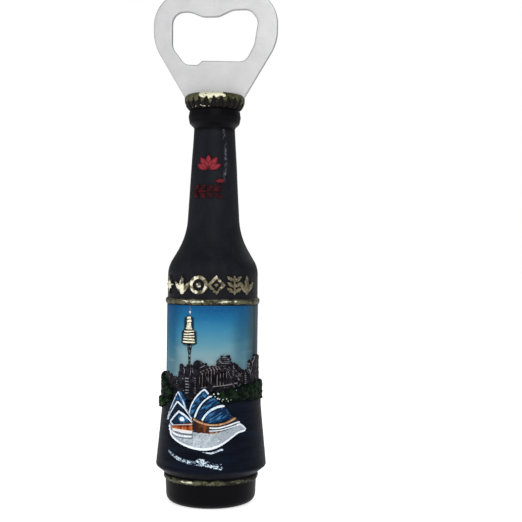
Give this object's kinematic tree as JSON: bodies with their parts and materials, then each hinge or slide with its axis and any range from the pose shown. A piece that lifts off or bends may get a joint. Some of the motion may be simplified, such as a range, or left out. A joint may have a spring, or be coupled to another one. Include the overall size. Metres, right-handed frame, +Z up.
{
  "type": "souvenir bottle opener",
  "caption": "Bottle-shaped souvenir opener: flat steel cap lifter standing out of a cast resin bottle with raised harbour scenery and a flat magnetic back.",
  "frame": {"origin": "on the bottle's axis, in the plane of the foot it stands on", "axes": "+Z up the bottle from the foot to the steel head, +Y out of the flat magnetic back, so the scenery faces -Y and +X is to the viewer's right"},
  "size_m": [0.036, 0.021, 0.1469],
  "materials": {
    "plate_steel": "tumbled, even pale grey",
    "bottle_black": "satin black paint over resin, dark sea blue on the skirt",
    "cap_gold": "rubbed antique gold paint over black resin",
    "sky_print": "satin print, deep blue fading down to pale teal grey",
    "band_gold": "rubbed gold paint",
    "charm_gold": "worn champagne gold paint",
    "tower_gold": "cream and gold paint, dark grooves",
    "tower_dark": "dark grey paint",
    "skyline_dark": "charcoal paint with grey dry brushing",
    "bridge_grey": "charcoal paint with pale dry brushing",
    "tree_green": "dark green paint with lighter green lumps",
    "sail_blue": "hand-painted blue with white ribs",
    "house_orange": "orange paint",
    "house_brown": "brown paint with a tan edge and white rails",
    "hull_white": "white paint with blue-grey brush marks",
    "foam_white": "white dry brushing",
    "ripple_blue": "pale blue dry brushing",
    "flower_red": "red paint",
    "leaf_red": "worn dark red paint",
    "magnet_ferrite": "dull sintered grey"
  },
  "bodies": {
    "root": {"opener_plate": "plate_steel", "bottle_body": "bottle_black", "crown_cap": "cap_gold", "sky_label": "sky_print", "upper_gold_band": "band_gold", "lower_gold_band": "band_gold", "collar_charms": "charm_gold", "neck_flower": "flower_red", "neck_leaves": "leaf_red", "tower_mast": "tower_dark", "tower_turret": "tower_gold", "tower_shaft": "tower_dark", "skyline_blocks": "skyline_dark", "arch_bridge": "bridge_grey", "left_trees": "tree_green", "right_trees": "tree_green", "fore_sails": "sail_blue", "main_sails": "sail_blue", "fore_deckhouse": "house_orange", "main_deckhouse": "house_brown", "boat_hull": "hull_white", "foam_line": "foam_white", "ripple_strokes": "ripple_blue", "upper_magnet": "magnet_ferrite", "lower_magnet": "magnet_ferrite"}
  },
  "joints": []
}
